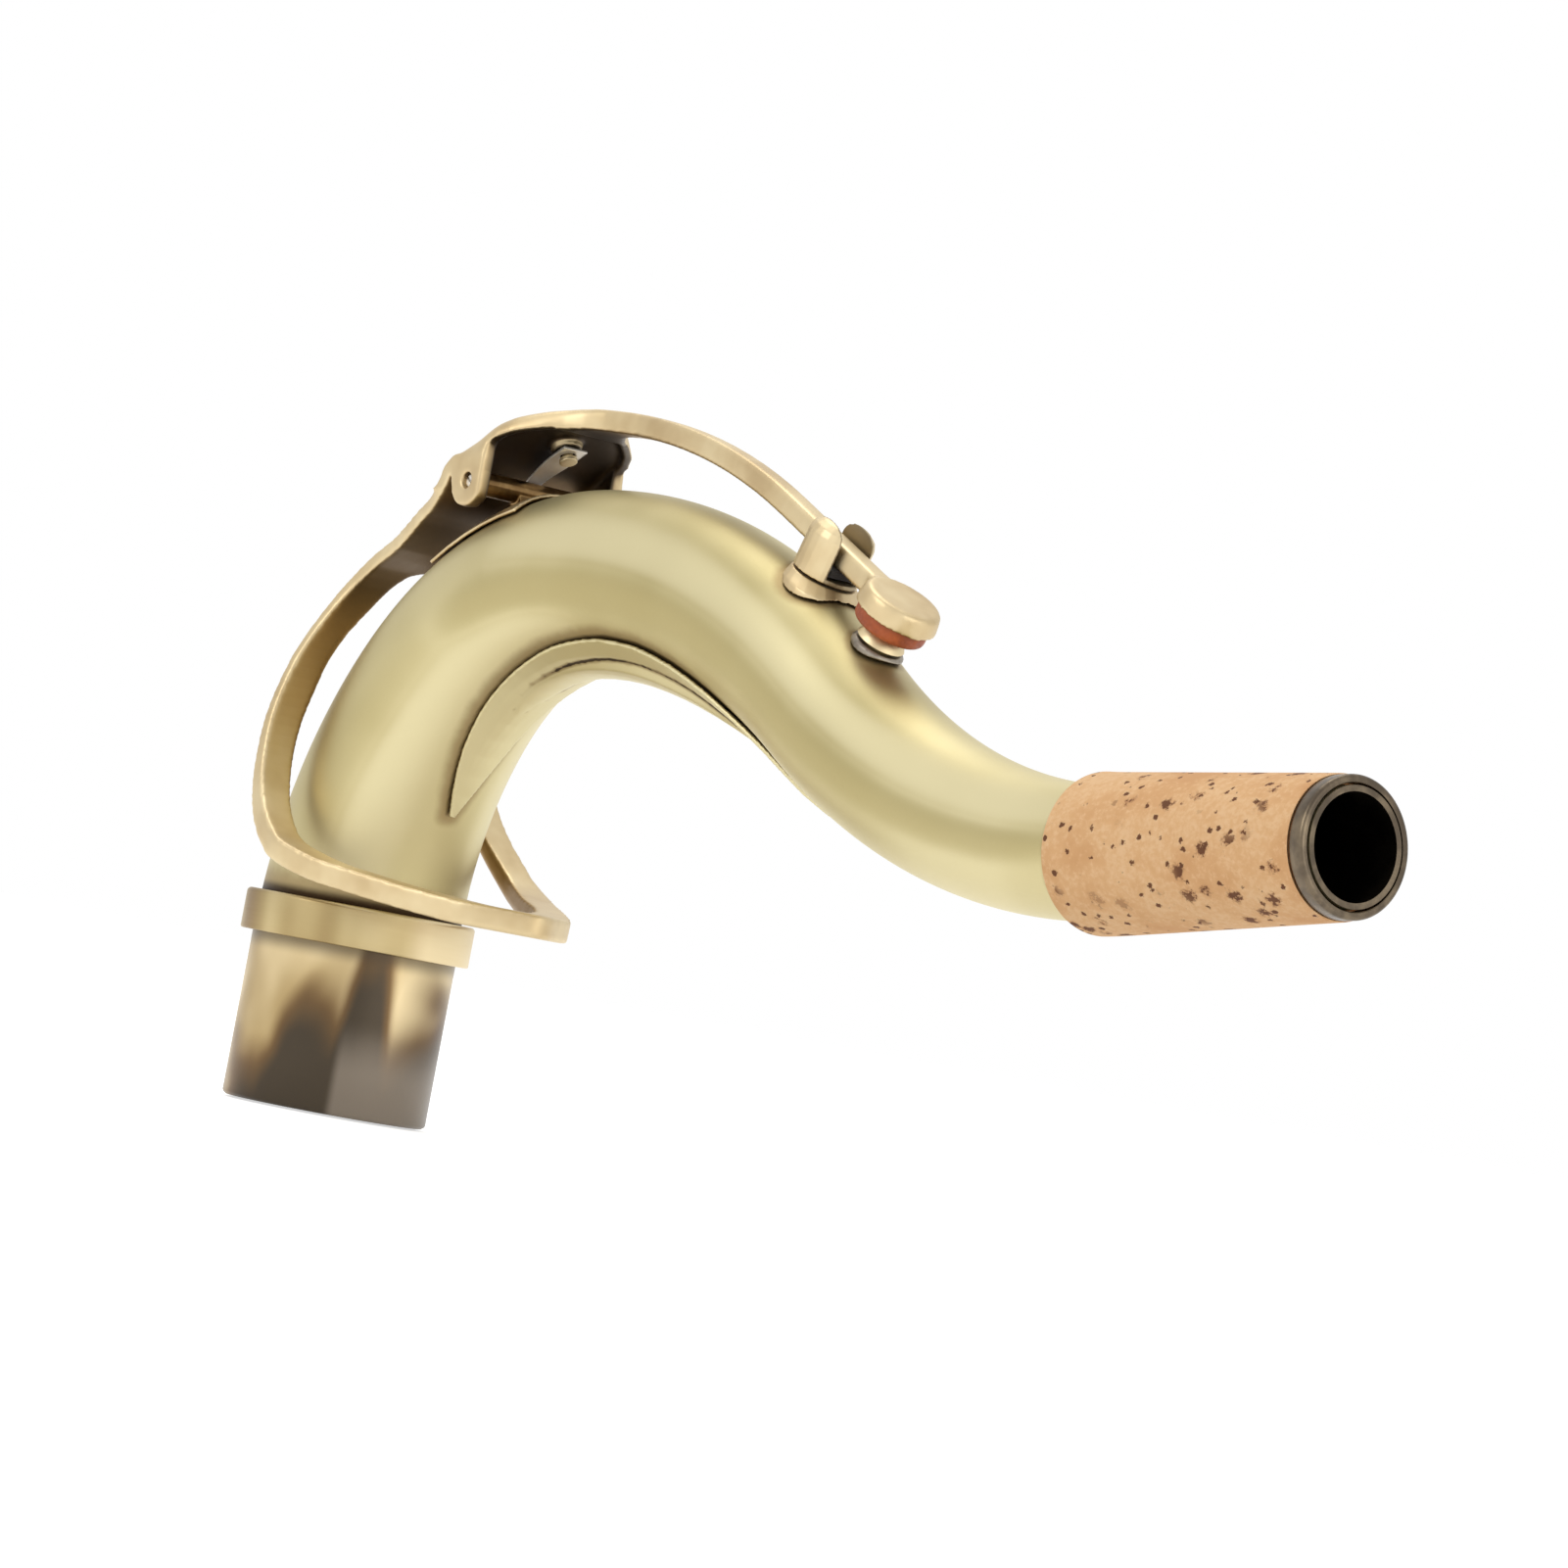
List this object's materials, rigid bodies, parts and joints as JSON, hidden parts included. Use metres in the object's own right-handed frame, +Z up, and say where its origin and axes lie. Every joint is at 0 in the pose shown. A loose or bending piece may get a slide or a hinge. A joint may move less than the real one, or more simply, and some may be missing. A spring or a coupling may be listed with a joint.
{
  "type": "saxophone neck",
  "caption": "Curved tapered crook with a corked mouth end, a collared tenon, an underslung brace and a sprung octave key that lifts a pad off its vent pip.",
  "frame": {"origin": "centre of the collar's underside, where the neck seats on the instrument's receiver", "axes": "+Z up the tenon axis, +X from the tenon towards the mouth end, +Y across the neck, so the far side of the octave key's hinge in the picture is +Y"},
  "size_m": [0.2095, 0.0432, 0.0969],
  "materials": {
    "satin_brass": "satin olive-gold lacquered brass",
    "antique_brass": "tan-gold brushed brass, brown in its recesses",
    "aged_brass": "bare brass, blotched grey-brown where it is handled",
    "dark_bronze": "dark grey bronze",
    "steel": "bright spring and rod steel",
    "cork": "sanded natural cork with dark flecks",
    "pad_leather": "rust-brown pad skin",
    "black_felt": "black guide felt"
  },
  "bodies": {
    "neck": {"neck_tube": "satin_brass", "tenon_sleeve": "aged_brass", "tenon_collar": "antique_brass", "neck_cork": "cork", "end_ring": "dark_bronze", "underslung_brace": "satin_brass", "pivot_base_plate": "antique_brass", "pivot_barrel": "dark_bronze", "octave_pip": "antique_brass", "pip_flange": "aged_brass", "guide_foot": "antique_brass", "guide_post": "antique_brass", "guide_felt": "black_felt"},
    "octave_key": {"key_saddle": "antique_brass", "key_front_arm": "antique_brass", "key_loop": "antique_brass", "pivot_rod": "steel", "pad_cup": "antique_brass", "key_pad": "pad_leather", "flat_spring": "steel", "spring_screw": "dark_bronze"}
  },
  "joints": [
    {"name": "octave_key_hinge", "type": "hinge", "parent": "neck", "child": "octave_key", "pos_m": [0.02246, 0, 0.06273], "axis": [0, -1, 0], "range_deg": [0, 3], "stiffness_Nm_per_rad": 0.06, "springref_deg": -22.92}
  ]
}
